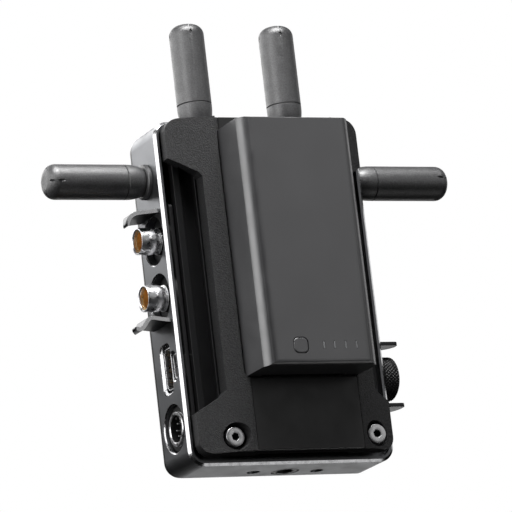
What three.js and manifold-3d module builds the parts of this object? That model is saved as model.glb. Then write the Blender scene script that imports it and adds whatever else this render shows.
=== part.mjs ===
// Wireless video receiver unit with a slide-on battery: millimetres, +Z up, battery side towards -Y.
// The origin is the mouth of the tripod thread in the base, on the centre line of the rear layout.
import * as THREE from 'three';
import { mergeVertices } from 'three/addons/utils/BufferGeometryUtils.js';
import Module from 'manifold-3d';

const wasm = await Module();
wasm.setup();

// ---- driving dimensions -------------------------------------------------------------------

const GAP = 0.3;                       // air left between pieces that touch on the real unit
const WIDTH = 81;                      // housing, across
const HEIGHT = 126;                    // housing, base to top
const CORNER = 6;                      // housing corner radius
const RIM_Y = -13.5;                   // plane of the polished rear rim
const FRAME_DEPTH = 20.8;              // depth of the metal frame behind that rim
const FRONT_Y = 11.1;                  // front of the display side
const WALL = 3;                        // frame wall
const BASE_WALL = 6;                   // thicker at the base, to hold the tripod thread
const RIM_CHAMFER = 1.2;
const RIM_WALL = 1.85;                 // thinner wall of the rebate that runs round inside the rim
const REBATE_DEPTH = 3.6;
const CAVITY_CORNER = 1.2;
const REAR_SHIFT = 2.6;                // rear layout and tripod thread sit right of the housing's middle
const MIDDLE_X = -REAR_SHIFT;
const LEFT_X = MIDDLE_X - WIDTH / 2;
const RIGHT_X = MIDDLE_X + WIDTH / 2;
const FRAME_FRONT_Y = RIM_Y + FRAME_DEPTH;
const PORT_PLATE_X0 = LEFT_X + WALL + GAP;
const PORT_PLATE_X1 = PORT_PLATE_X0 + 1.4;
const SINK_X0 = PORT_PLATE_X1 + 0.5;

// heights over the rim plane, towards the battery side
const COVER_EDGE_T = 4.5;              // cover where it meets the rim
const COVER_FLAT_T = 10.4;             // smooth centre of the cover
const POCKET_T = 8.1;                  // floor of the battery pocket
const PLATE_T = 6.2;                   // back of the battery plate
const COVER_WALL = 2;
const COVER_INSET = 2.3;
const CREASE_X = 21.1;                 // where the textured flanks meet the flat centre
const COVER_Z0 = 3.1;
const COVER_Z1 = 125.4;
const POCKET_X = 23;
const POCKET_Z0 = 29.2;
const WINDOW_X = 29.5;                 // inner edge of the two side windows
const WINDOW_TOP_Z = 105;
const WINDOW_FOOT_Z = 24;
const WINDOW_SLOPE = 0.55;
const RIB_WIDTH = 2.6;                 // ribs of the heat sink, seen through the windows
const RIB_PITCH = 8.2;
const SCREW_X = 27.9;
const SCREW_Z = 8.7;

const BATTERY_X = 22.1;                // half width
const BATTERY_Z0 = 29.8;
const BATTERY_Z1 = 120.2;
const BATTERY_T0 = POCKET_T + GAP;
const BATTERY_T1 = 27.1;
const BATTERY_WALL = 1.8;
const BATTERY_BASE = 3;
const BUTTON_X = -8.1;
const BUTTON_Z = 36.7;
const BUTTON_SIZE = 5.4;
const LIGHT_X = 0.9;
const LIGHT_PITCH = 4.27;
const LIGHT_COUNT = 4;
const RAIL_X = 14;

const SIDE_ANTENNA_Z = 106.3;
const TOP_ANTENNA_X = 18;
const ANTENNA_Y = RIM_Y + 10.8;
const ANTENNA_R = 6.35;
const ANTENNA_LENGTH = 39.4;

const PORT_Y = RIM_Y + 10.1;
const BNC_Z = [84.2, 63.2];
const HDMI = { y: RIM_Y + 10.8, z: 37.3, long: 15.2, wide: 5.8 };
const USB = { y: RIM_Y + 4.7, z: 37.2, long: 9, wide: 3.2 };
const POWER_Z = 15.6;
const DIAL_Z = 32.3;
const DIAL_R = 8.2;

const CATCH = { x: 0, z: 104, radius: 2.4 };

const PIN_X = 12.6;                    // anti-twist pin holes each side of the tripod thread
const ROUND = 24;                      // sides of a round piece

// ---- directions and materials -------------------------------------------------------------

const LEFT = new THREE.Vector3(-1, 0, 0);
const RIGHT = new THREE.Vector3(1, 0, 0);
const REAR = new THREE.Vector3(0, -1, 0);
const UP = new THREE.Vector3(0, 0, 1);
const LATHE_AXIS = new THREE.Vector3(0, 1, 0);
const at = (x, y, z) => new THREE.Vector3(x, y, z);
const rearY = (t) => RIM_Y - t;

function finish(color, roughness, metalness) {
  return new THREE.MeshStandardMaterial({ color, roughness, metalness });
}

const FINISH = {
  frame: finish('#8e9094', 0.42, 0.9),
  cover: finish('#2f3032', 0.75, 0.4),
  plate: finish('#1d1e20', 0.45, 0.0),
  sink: finish('#18191a', 0.6, 0.8),
  battery: finish('#46474a', 0.6, 0.0),
  antenna: finish('#4a4b4d', 0.55, 0.0),
  steel: finish('#c9cacc', 0.25, 1.0),
  gold: finish('#c58a35', 0.3, 1.0),
  guard: finish('#55575a', 0.4, 0.9),
  rubber: finish('#161617', 0.7, 0.0),
  insulator: finish('#d8d4c8', 0.5, 0.0),
  dark: finish('#101011', 0.5, 0.0),
  board: finish('#1f5a36', 0.6, 0.0),
  cell: finish('#a9adb2', 0.4, 0.6),
  light: finish('#7d8082', 0.3, 0.0),
  glass: finish('#0b0c0e', 0.08, 0.0),
};

// ---- shapes ---------------------------------------------------------------------------------

function roundedRect(x0, y0, x1, y1, radius) {
  const shape = new THREE.Shape();
  const quarter = Math.PI / 2;
  shape.absarc(x1 - radius, y0 + radius, radius, -quarter, 0, false);
  shape.absarc(x1 - radius, y1 - radius, radius, 0, quarter, false);
  shape.absarc(x0 + radius, y1 - radius, radius, quarter, 2 * quarter, false);
  shape.absarc(x0 + radius, y0 + radius, radius, 2 * quarter, 3 * quarter, false);
  shape.closePath();
  return shape;
}

function outline(points) {
  return new THREE.Shape(points.map(([x, y]) => new THREE.Vector2(x, y)));
}

// A prism of the shape from 0 to height; a bevel rounds or chamfers both of its ends.
function prism(shape, height, bevel = 0, bevelSegments = 1, curveSegments = 4) {
  const geometry = new THREE.ExtrudeGeometry(shape, {
    depth: height - 2 * bevel,
    bevelEnabled: bevel > 0,
    bevelThickness: bevel,
    bevelSize: bevel,
    bevelOffset: -bevel,
    bevelSegments,
    curveSegments,
  });
  return geometry.translate(0, 0, bevel);
}

function solid(geometry) {
  const bare = geometry.clone();
  bare.deleteAttribute('normal');
  bare.deleteAttribute('uv');
  const merged = mergeVertices(bare, 1e-5);
  const index = merged.getIndex().array;
  const triangles = [];
  for (let i = 0; i < index.length; i += 3) {
    const [a, b, c] = index.slice(i, i + 3);
    if (a !== b && b !== c && c !== a) triangles.push(a, b, c);
  }
  return new wasm.Manifold(new wasm.Mesh({
    numProp: 3,
    vertProperties: Float32Array.from(merged.getAttribute('position').array),
    triVerts: Uint32Array.from(triangles),
  }));
}

// Drawn in X and Z, and thick from t0 to t1 over the rim plane, towards the battery side.
function slab(shape, t0, t1, bevel = 0, bevelSegments = 1, curveSegments = 4) {
  const geometry = prism(shape, t1 - t0, bevel, bevelSegments, curveSegments);
  return solid(geometry.rotateX(Math.PI / 2).translate(0, rearY(t0), 0));
}

// Drawn in Y and Z, and thick from x0 to x1.
function sideSlab(shape, x0, x1, bevel = 0, curveSegments = 3) {
  const turn = new THREE.Matrix4().makeBasis(at(0, 1, 0), at(0, 0, 1), at(1, 0, 0));
  return solid(prism(shape, x1 - x0, bevel, 1, curveSegments).applyMatrix4(turn).translate(x0, 0, 0));
}

function block(x0, x1, y0, y1, z0, z1) {
  const box = new THREE.BoxGeometry(x1 - x0, y1 - y0, z1 - z0);
  return solid(box.translate((x0 + x1) / 2, (y0 + y1) / 2, (z0 + z1) / 2));
}

function rearBlock(x0, x1, t0, t1, z0, z1) {
  return block(x0, x1, rearY(t1), rearY(t0), z0, z1);
}

// A turned piece: the profile's second number runs along the axis from the origin point.
function turned(profile, direction, origin, sides = ROUND) {
  const points = profile.map(([radius, along]) => new THREE.Vector2(radius, along));
  const geometry = new THREE.LatheGeometry(points, sides);
  geometry.applyQuaternion(new THREE.Quaternion().setFromUnitVectors(LATHE_AXIS, direction));
  return solid(geometry.translate(origin.x, origin.y, origin.z));
}

function rod(radius, from, to, direction, origin, sides = ROUND) {
  return turned([[0, from], [radius, from], [radius, to], [0, to]], direction, origin, sides);
}

function ring(inner, outer, from, to, direction, origin, sides = ROUND) {
  const profile = [[inner, from], [outer, from], [outer, to], [inner, to], [inner, from]];
  return turned(profile, direction, origin, sides);
}

const join = (...solids) => wasm.Manifold.union(solids);
const cut = (body, ...tools) => body.subtract(join(...tools));

const unit = new THREE.Group();
unit.name = 'wireless_receiver_unit';

function add(name, body, material) {
  const mesh = body.getMesh();
  const geometry = new THREE.BufferGeometry();
  geometry.setAttribute('position', new THREE.BufferAttribute(Float32Array.from(mesh.vertProperties), 3));
  geometry.setIndex(new THREE.BufferAttribute(Uint32Array.from(mesh.triVerts), 1));
  geometry.computeVertexNormals();
  const piece = new THREE.Mesh(geometry, material);
  piece.name = name;
  unit.add(piece);
}

// ---- housing ----------------------------------------------------------------------------------

const TOP_ANTENNAS = [MIDDLE_X - TOP_ANTENNA_X, MIDDLE_X + TOP_ANTENNA_X];
const ANTENNAS = [
  { name: 'antenna_top_left', direction: UP, origin: at(TOP_ANTENNAS[0], ANTENNA_Y, HEIGHT) },
  { name: 'antenna_top_right', direction: UP, origin: at(TOP_ANTENNAS[1], ANTENNA_Y, HEIGHT) },
  { name: 'antenna_side_left', direction: LEFT, origin: at(LEFT_X, ANTENNA_Y, SIDE_ANTENNA_Z) },
  { name: 'antenna_side_right', direction: RIGHT, origin: at(RIGHT_X, ANTENNA_Y, SIDE_ANTENNA_Z) },
];

const BNC_RECESS_R = 8.8;
const POWER_RECESS_R = 8.7;
const SOCKET_HOLE_R = 5;
const DIAL_HOLE_R = 3.4;
const INSERT_R = 4.8;

function slotShape(port, margin) {
  const halfWide = port.wide / 2 + margin;
  const halfLong = port.long / 2 + margin;
  const radius = Math.min(halfWide * 0.98, 1.6 + margin);
  return roundedRect(port.y - halfWide, port.z - halfLong, port.y + halfWide, port.z + halfLong, radius);
}

function midFrame() {
  const outer = roundedRect(LEFT_X, 0, RIGHT_X, HEIGHT, CORNER);
  const shell = slab(outer, -FRAME_DEPTH - 5, 0, RIM_CHAMFER, 1, 6);
  const depthOnly = block(LEFT_X - 1, RIGHT_X + 1, RIM_Y - 1, FRAME_FRONT_Y, -1, HEIGHT + 1);
  const cavity = roundedRect(LEFT_X + WALL, BASE_WALL, RIGHT_X - WALL, HEIGHT - WALL, CAVITY_CORNER);
  const rebateEnds = [LEFT_X + RIM_WALL, RIM_WALL, RIGHT_X - RIM_WALL, HEIGHT - RIM_WALL];
  const rebate = roundedRect(...rebateEnds, CORNER - RIM_WALL);
  const boss = (x) => rod(4, -12, -0.4, REAR, at(x, RIM_Y, SCREW_Z));
  const bossHole = (x) => rod(2.15, -11, 1, REAR, at(x, RIM_Y, SCREW_Z), 20);
  const cuts = [
    ...ANTENNAS.map(({ direction, origin }) => rod(SOCKET_HOLE_R, -WALL - 1, 1, direction, origin)),
    ...BNC_Z.map((z) => rod(BNC_RECESS_R, -WALL - 1, 1, LEFT, at(LEFT_X, PORT_Y, z), 32)),
    rod(POWER_RECESS_R, -WALL - 1, 1, LEFT, at(LEFT_X, PORT_Y, POWER_Z), 32),
    sideSlab(slotShape(HDMI, 0.6), LEFT_X - 1, LEFT_X + WALL + 1),
    sideSlab(slotShape(USB, 0.5), LEFT_X - 1, LEFT_X + WALL + 1),
    rod(DIAL_HOLE_R, -WALL - 1, 1, RIGHT, at(RIGHT_X, PORT_Y, DIAL_Z), 24),
    rod(INSERT_R + GAP, -1, BASE_WALL + 1, UP, at(0, 0, 0)),
    rod(1.9, -1, 4.5, UP, at(-PIN_X, 0, 0), 20),
    rod(1.9, -1, 4.5, UP, at(PIN_X, 0, 0), 20),
    bossHole(-SCREW_X),
    bossHole(SCREW_X),
  ];
  for (const depth of [5, 10, 15]) {
    for (const [near, far] of [[LEFT_X - 1, LEFT_X + 13], [RIGHT_X - 13, RIGHT_X + 1]]) {
      cuts.push(block(near, far, RIM_Y + depth - 0.9, RIM_Y + depth + 0.9, HEIGHT - 2.2, HEIGHT + 1));
    }
  }
  const hollows = [slab(cavity, -FRAME_DEPTH - 6, 1), slab(rebate, -REBATE_DEPTH, 1)];
  const walls = cut(shell.intersect(depthOnly), ...hollows);
  return cut(join(walls, boss(-SCREW_X), boss(SCREW_X)), ...cuts);
}
add('mid_frame', midFrame(), FINISH.frame);

const SCREEN = { x0: -30, x1: 24, z0: 66, z1: 104 };

function frontPanel() {
  const inset = 0.5;
  const shape = roundedRect(LEFT_X + inset, inset, RIGHT_X - inset, HEIGHT - inset, CORNER - inset);
  const t1 = -FRAME_DEPTH - GAP;
  const t0 = RIM_Y - FRONT_Y;
  const face = slab(shape, t0, t1 + 4, 2.2, 3).intersect(rearBlock(-60, 60, t0 - 1, t1, -1, HEIGHT + 1));
  const hollow = roundedRect(LEFT_X + 4, 4, RIGHT_X - 4, HEIGHT - 4, 4);
  const window = roundedRect(SCREEN.x0, SCREEN.z0, SCREEN.x1, SCREEN.z1, 2);
  return cut(face, slab(hollow, t0 + 2, t1 + 1), slab(window, t0 - 1, t1 + 1));
}
add('front_panel', frontPanel(), FINISH.plate);

const DISPLAY_FACE_T = RIM_Y - FRONT_Y + 0.4;
const DISPLAY_LIP = 0.35;
const screenShape = roundedRect(
  SCREEN.x0 + DISPLAY_LIP, SCREEN.z0 + DISPLAY_LIP,
  SCREEN.x1 - DISPLAY_LIP, SCREEN.z1 - DISPLAY_LIP, 1.7);
add('display_window', slab(screenShape, DISPLAY_FACE_T, DISPLAY_FACE_T + 1.2), FINISH.glass);
add('display_module', rearBlock(
  SCREEN.x0 + 2, SCREEN.x1 - 2, DISPLAY_FACE_T + 1.5, DISPLAY_FACE_T + 3.9,
  SCREEN.z0 + 2, SCREEN.z1 - 2), FINISH.dark);

// ---- rear cover, battery plate and heat sink ----------------------------------------------------

const COVER_X0 = LEFT_X + COVER_INSET;
const COVER_X1 = RIGHT_X - COVER_INSET;

// The cover's cross-section, looking up: two sloping flanks with a flat between them.
function coverSection(inset, flatT) {
  return outline([
    [COVER_X0 + inset, -1],
    [COVER_X1 - inset, -1],
    [COVER_X1 - inset, COVER_EDGE_T - inset],
    [CREASE_X, flatT - inset],
    [-CREASE_X, flatT - inset],
    [COVER_X0 + inset, COVER_EDGE_T - inset],
  ]);
}

// A prism of a cross-section drawn in X and t, running from z0 to z1.
function beam(shape, z0, z1) {
  const turn = new THREE.Matrix4().makeBasis(at(-1, 0, 0), at(0, -1, 0), at(0, 0, 1));
  const mirrored = outline(shape.getPoints().map((point) => [-point.x, point.y]));
  return solid(prism(mirrored, z1 - z0).applyMatrix4(turn).translate(0, RIM_Y, z0));
}

function windowShape(side) {
  const reach = 16;
  const outer = side * (WINDOW_X + reach);
  return outline([
    [side * WINDOW_X, WINDOW_FOOT_Z],
    [outer, WINDOW_FOOT_Z - reach * WINDOW_SLOPE],
    [outer, WINDOW_TOP_Z + reach * WINDOW_SLOPE],
    [side * WINDOW_X, WINDOW_TOP_Z],
  ]);
}

function rearCover() {
  const plan = roundedRect(COVER_X0, COVER_Z0, COVER_X1, COVER_Z1, 5);
  const outer = beam(coverSection(0, COVER_FLAT_T), COVER_Z0, COVER_Z1).intersect(slab(plan, GAP, 30));
  const inner = beam(coverSection(COVER_WALL, COVER_FLAT_T), COVER_Z0 + COVER_WALL, COVER_Z1 - COVER_WALL);
  const floorKeep = rearBlock(-POCKET_X - 1.5, POCKET_X + 1.5, 4.2, 12, 0, HEIGHT);
  const boss = (x) => rod(6.2, GAP, 12, REAR, at(x, RIM_Y, SCREW_Z)).intersect(outer);
  const body = join(cut(outer, cut(inner, floorKeep)), boss(-SCREW_X), boss(SCREW_X));
  const plateX = CREASE_X - 0.2 + GAP;
  const pocket = roundedRect(-POCKET_X, POCKET_Z0, POCKET_X, HEIGHT + 9, 2.5);
  const archEnd = 2;
  const arch = outline([[-19, -2], [19, -2], [19 - archEnd, 3.4], [-19 + archEnd, 3.4]]);
  const cuts = [
    rearBlock(-plateX, plateX, PLATE_T - GAP, 20, 0, HEIGHT),
    slab(pocket, POCKET_T - GAP, 20),
    slab(windowShape(-1), -2, 20),
    slab(windowShape(1), -2, 20),
    beam(arch, COVER_Z0 - 1, COVER_Z0 + COVER_WALL + 0.5),
    rod(CATCH.radius + GAP, 3, 20, REAR, at(CATCH.x, RIM_Y, CATCH.z), 16),
  ];
  for (const x of [-SCREW_X, SCREW_X]) {
    cuts.push(rod(4.7, 4.3, 20, REAR, at(x, RIM_Y, SCREW_Z)));
    cuts.push(rod(2.2, -1, 20, REAR, at(x, RIM_Y, SCREW_Z), 20));
  }
  return cut(body, ...cuts);
}
add('rear_cover', rearCover(), FINISH.cover);

function batteryPlate() {
  const half = CREASE_X - 0.2;
  const ledge = rearBlock(-half, half, PLATE_T, COVER_FLAT_T, COVER_Z0 + 0.1, POCKET_Z0 - 0.2);
  const floor = rearBlock(-half, half, PLATE_T, POCKET_T, COVER_Z0 + 0.1, COVER_Z1);
  const rails = [-RAIL_X, RAIL_X].flatMap((x) => [
    rearBlock(x - 0.8, x + 0.8, POCKET_T - 0.5, POCKET_T + 2.2, 48, 108),
    rearBlock(x - 1.8, x + 1.8, POCKET_T + 1.4, POCKET_T + 2.2, 48, 108),
  ]);
  const seat = rearBlock(-9.3, 9.3, POCKET_T - 0.9, 20, POCKET_Z0 + 1.2, POCKET_Z0 + 6.3);
  const catchHole = rod(CATCH.radius + GAP, 0, 20, REAR, at(CATCH.x, RIM_Y, CATCH.z), 20);
  return cut(join(ledge, floor, ...rails), seat, catchHole);
}
add('battery_plate', batteryPlate(), FINISH.plate);

function contactBlock() {
  const base = rearBlock(-9, 9, POCKET_T - 0.6, POCKET_T + 0.6, POCKET_Z0 + 1.5, POCKET_Z0 + 6);
  const blades = [-6, -2, 2, 6].map((x) =>
    rearBlock(x - 0.5, x + 0.5, POCKET_T, POCKET_T + 2, POCKET_Z0 + 2, POCKET_Z0 + 5.5));
  return join(base, ...blades);
}
add('battery_contact_block', contactBlock(), FINISH.gold);

// A sprung plunger that clicks into a dimple of the battery's base.
add('battery_catch', turned([
  [0, POCKET_T - 1.6], [CATCH.radius, POCKET_T - 1.6], [CATCH.radius, POCKET_T - 0.4],
  [CATCH.radius - 1.2, POCKET_T + 0.1], [0, POCKET_T + 0.1],
], REAR, at(CATCH.x, RIM_Y, CATCH.z), 20), FINISH.steel);

function heatSink() {
  const plate = rearBlock(SINK_X0, RIGHT_X - WALL - 0.6, -2.6, -1.4, 14.5, 118);
  const ribs = [];
  for (let x = SINK_X0 + RIB_WIDTH / 2; x < COVER_X1 - COVER_WALL - RIB_WIDTH / 2; x += RIB_PITCH) {
    const coveredByFlat = Math.abs(x) < POCKET_X - RIB_WIDTH / 2;
    const crown = coveredByFlat ? 2 : 0.9;
    ribs.push(rearBlock(x - RIB_WIDTH / 2, x + RIB_WIDTH / 2, -2, crown, 15, 117.5));
  }
  return join(plate, ...ribs);
}
add('heat_sink', heatSink(), FINISH.sink);

function coverScrew() {
  const head = [[0, -9], [1.9, -9], [1.9, 4.6], [3.5, 4.6], [3.5, 6.9], [3.2, 7.3], [0, 7.3]];
  return (x) => {
    const origin = at(x, RIM_Y, SCREW_Z);
    return cut(turned(head, REAR, origin, 28), rod(1.75, 5.2, 9, REAR, origin, 6));
  };
}
const screwAt = coverScrew();
add('cover_screw_left', screwAt(-SCREW_X), FINISH.steel);
add('cover_screw_right', screwAt(SCREW_X), FINISH.steel);

// ---- battery pack ---------------------------------------------------------------------------

const BASE_T1 = BATTERY_T0 + BATTERY_BASE;
const INNER_X = BATTERY_X - BATTERY_WALL;

function batteryCase() {
  const shape = roundedRect(-BATTERY_X, BATTERY_Z0, BATTERY_X, BATTERY_Z1, 2.6);
  const behind = 5;
  const whole = slab(shape, BATTERY_T0 - behind, BATTERY_T1, 2.2, 4);
  const trimmed = whole.intersect(rearBlock(-30, 30, BATTERY_T0, BATTERY_T1 + 1, 0, 200));
  const inside = roundedRect(-INNER_X, BATTERY_Z0 + BATTERY_WALL, INNER_X, BATTERY_Z1 - BATTERY_WALL, 0.4);
  const hole = BUTTON_SIZE / 2 + 0.25;
  const buttonHole = roundedRect(BUTTON_X - hole, BUTTON_Z - hole, BUTTON_X + hole, BUTTON_Z + hole, 1.4);
  const lights = Array.from({ length: LIGHT_COUNT }, (_, i) => {
    const x = LIGHT_X + i * LIGHT_PITCH;
    return rearBlock(x - 0.5, x + 0.5, BATTERY_T1 - 4, BATTERY_T1 + 1, BUTTON_Z - 1.5, BUTTON_Z + 1.5);
  });
  return cut(
    trimmed,
    slab(inside, BATTERY_T0 - 1, BATTERY_T1 - 2),
    slab(buttonHole, BATTERY_T1 - 4, BATTERY_T1 + 1),
    rearBlock(-RAIL_X - 2.4, RAIL_X + 2.4, BATTERY_T0 - 1, BASE_T1, BATTERY_Z0 - 1, BATTERY_Z0 + 4),
    ...lights,
  );
}
add('battery_case', batteryCase(), FINISH.battery);

function batteryBase() {
  const slip = GAP / 2 + 0.1;
  const z0 = BATTERY_Z0 + 0.1;
  const wide = rearBlock(
    -INNER_X + slip, INNER_X - slip, BATTERY_T0, BASE_T1, BATTERY_Z0 + 2.1, BATTERY_Z1 - 2.1);
  const foot = rearBlock(-RAIL_X - 2.1, RAIL_X + 2.1, BATTERY_T0, BASE_T1 - GAP, z0, BATTERY_Z0 + 6);
  const grooves = [-RAIL_X, RAIL_X].flatMap((x) => [
    rearBlock(x - 1.15, x + 1.15, 0, POCKET_T + 2.5, 0, 109.5),
    rearBlock(x - 2.15, x + 2.15, POCKET_T + 1.1, POCKET_T + 2.5, 0, 109.5),
  ]);
  const contactBay = rearBlock(-9.5, 9.5, 0, POCKET_T + 2.5, 0, POCKET_Z0 + 7);
  const dimple = rod(CATCH.radius, POCKET_T - 1, POCKET_T + 1.2, REAR, at(CATCH.x, RIM_Y, CATCH.z), 20);
  return cut(join(wide, foot), ...grooves, contactBay, dimple);
}
add('battery_base', batteryBase(), FINISH.dark);

const CELL_Z0 = 44;
const cellShape = roundedRect(-19.4, CELL_Z0, 19.4, BATTERY_Z1 - 3, 2);
add('battery_cell_rear', slab(cellShape, BASE_T1 + 0.4, BASE_T1 + 6.6, 0.8, 1, 3), FINISH.cell);
add('battery_cell_front', slab(cellShape, BASE_T1 + 6.9, BASE_T1 + 13.1, 0.8, 1, 3), FINISH.cell);
add('battery_board', rearBlock(
  -19, 19, BATTERY_T1 - 7.2, BATTERY_T1 - 6, BATTERY_Z0 + 3, CELL_Z0 - 0.8), FINISH.board);

function batteryButton() {
  const half = BUTTON_SIZE / 2;
  const cap = roundedRect(BUTTON_X - half, BUTTON_Z - half, BUTTON_X + half, BUTTON_Z + half, 1.2);
  const lip = half + 0.7;
  const flange = roundedRect(BUTTON_X - lip, BUTTON_Z - lip, BUTTON_X + lip, BUTTON_Z + lip, 1.6);
  const top = slab(cap, BATTERY_T1 - 3.4, BATTERY_T1 + 0.1, 0.2);
  return join(top, slab(flange, BATTERY_T1 - 3.4, BATTERY_T1 - 2.3));
}
add('battery_button', batteryButton(), FINISH.battery);

for (let i = 0; i < LIGHT_COUNT; i += 1) {
  const x = LIGHT_X + i * LIGHT_PITCH;
  add(`charge_light_${i + 1}`, rearBlock(
    x - 0.25, x + 0.25, BATTERY_T1 - 5.5, BATTERY_T1 + 0.02, BUTTON_Z - 1.25, BUTTON_Z + 1.25), FINISH.light);
}

// ---- ports on the left side ----------------------------------------------------------------

function portPlate() {
  const shape = roundedRect(RIM_Y + 1.2, 6.6, RIM_Y + 20, 96, 1.5);
  const holes = [
    ...BNC_Z.map((z) => rod(5.2, -9, 1, LEFT, at(LEFT_X, PORT_Y, z))),
    rod(6.3, -9, 1, LEFT, at(LEFT_X, PORT_Y, POWER_Z)),
    sideSlab(slotShape(HDMI, GAP), PORT_PLATE_X0 - 1, PORT_PLATE_X1 + 1),
    sideSlab(slotShape(USB, GAP), PORT_PLATE_X0 - 1, PORT_PLATE_X1 + 1),
  ];
  return cut(sideSlab(shape, PORT_PLATE_X0, PORT_PLATE_X1), ...holes);
}
add('port_plate', portPlate(), FINISH.dark);

function addBnc(name, z) {
  const origin = at(LEFT_X, PORT_Y, z);
  const tube = turned([
    [3.95, -8.6], [4.85, -8.6], [4.85, -2.9], [6.4, -2.9], [6.4, -1.5],
    [4.3, -1.5], [4.3, 0.6], [4.85, 1], [4.85, 6.4], [3.95, 6.4], [3.95, -8.6],
  ], LEFT, origin);
  const studs = [REAR, REAR.clone().negate()].map((direction) =>
    rod(1, 4.2, 5.9, direction, at(LEFT_X - 2.4, PORT_Y, z), 16));
  add(`${name}_shell`, join(tube, ...studs), FINISH.steel);
  add(`${name}_insulator`, ring(1.15, 3.6, -8.3, 0.5, LEFT, origin, 24), FINISH.insulator);
  add(`${name}_contact`, rod(0.8, -8.5, 2.4, LEFT, origin, 12), FINISH.gold);
}
addBnc('video_out_upper', BNC_Z[0]);
addBnc('video_out_lower', BNC_Z[1]);

function portTube(port, wall, x0, x1) {
  return cut(sideSlab(slotShape(port, 0), x0, x1), sideSlab(slotShape(port, -wall), x0 - 1, x1 + 1));
}

function addPort(name, port, wall, tongue) {
  const x0 = LEFT_X + 0.8;
  const x1 = LEFT_X + tongue.back;
  add(`${name}_shell`, portTube(port, wall, x0, x1), FINISH.steel);
  const y = port.y + tongue.shift;
  add(`${name}_tongue`, block(
    x0 + 1.4, x1 - 0.4, y - tongue.thick / 2, y + tongue.thick / 2,
    port.z - tongue.long / 2, port.z + tongue.long / 2), FINISH.dark);
}
addPort('hdmi_port', HDMI, 0.45, { back: 12.5, thick: 1.8, long: 11.2, shift: -0.5 });
addPort('usb_port', USB, 0.32, { back: 8.5, thick: 0.75, long: 6.7, shift: 0 });

const POWER_ORIGIN = at(LEFT_X, PORT_Y, POWER_Z);
add('power_port_shell', turned([
  [4.8, -9], [6, -9], [6, -2.9], [7.9, -2.9], [7.9, -1.6], [6, -1.6], [6, -0.5], [4.8, -0.5], [4.8, -9],
], LEFT, POWER_ORIGIN), FINISH.steel);

function powerInsert() {
  const pins = Array.from({ length: 6 }, (_, i) => {
    const angle = (i * 2 * Math.PI) / 6;
    const pin = POWER_ORIGIN.clone().add(at(0, 2.6 * Math.cos(angle), 2.6 * Math.sin(angle)));
    return rod(0.45, -4.2, -1.2, LEFT, pin, 10);
  });
  const key = block(LEFT_X + 1.2, LEFT_X + 4.2, PORT_Y - 0.5, PORT_Y + 0.5, POWER_Z + 3.6, POWER_Z + 4.3);
  return join(rod(4.5, -8.7, -4, LEFT, POWER_ORIGIN, 28), key, ...pins);
}
add('power_port_insert', powerInsert(), FINISH.dark);

// ---- guards beside the ports and the dial -----------------------------------------------------

const GUARD_THICK = 1.4;

// A curved blade: its edge profile runs outwards from the side face. Its plan narrows from its reach
// at the near edge to its waist at the far edge, straight or with a bulge.
function guard(side, faceX, z, profile, { reach, waist, depth, bulge }) {
  const near = RIM_Y + 2.4;
  const thick = GUARD_THICK;
  const under = profile.map(([out, drop]) => [faceX + side * out, z + drop - thick / 2]);
  const over = [...profile].reverse().map(([out, drop]) => [faceX + side * out, z + drop + thick / 2]);
  const blade = slab(outline([...under, ...over]), -24, 2);
  const plan = new THREE.Shape();
  plan.moveTo(0, 0);
  plan.lineTo(reach - 1, 0);
  plan.quadraticCurveTo(reach, 0, reach, 1.5);
  const middle = (reach + waist) / 2 + (bulge * (reach - waist)) / 2;
  plan.quadraticCurveTo(middle, (depth * (1 + bulge)) / 2, waist, depth);
  plan.lineTo(0, depth);
  plan.closePath();
  const stencil = prism(plan, 40, 0, 1, 8);
  if (side < 0) stencil.applyMatrix4(new THREE.Matrix4().makeBasis(at(-1, 0, 0), at(0, 1, 0), at(0, 0, -1)));
  stencil.translate(faceX, near, side < 0 ? z + 20 : z - 20);
  return blade.intersect(solid(stencil));
}

const HOOK = [[0.2, 0], [8.6, -1], [10.2, -1.4], [11.6, -2.5], [12.6, -3.8], [13.3, -5.2]];
const SPOUT = [[0.2, 0], [8, 0.95], [9.4, -0.4], [10.6, -2.2], [11.9, -3.4], [13.3, -3.5], [14.6, -2.4]];
const STRAIGHT = [[0.2, 0], [8.2, 0]];
const GUARD_PLANS = {
  hook: { reach: 13.3, waist: 5, depth: 16.5, bulge: 0 },
  spout: { reach: 14.4, waist: 5, depth: 15, bulge: 0 },
  short: { reach: 8.2, waist: 2, depth: 10, bulge: 0.7 },
  long: { reach: 8.2, waist: 2, depth: 15, bulge: 0.7 },
};
add('port_guard_upper', guard(-1, LEFT_X, 93.65, HOOK, GUARD_PLANS.hook), FINISH.guard);
add('port_guard_lower', guard(-1, LEFT_X, 53.4, SPOUT, GUARD_PLANS.spout), FINISH.guard);
add('dial_guard_upper', guard(1, RIGHT_X, 43.9, STRAIGHT, GUARD_PLANS.short), FINISH.guard);
add('dial_guard_lower', guard(1, RIGHT_X, 21.2, STRAIGHT, GUARD_PLANS.long), FINISH.guard);

// ---- control dial on the right side -------------------------------------------------------------

const DIAL_ORIGIN = at(RIGHT_X, PORT_Y, DIAL_Z);

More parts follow.
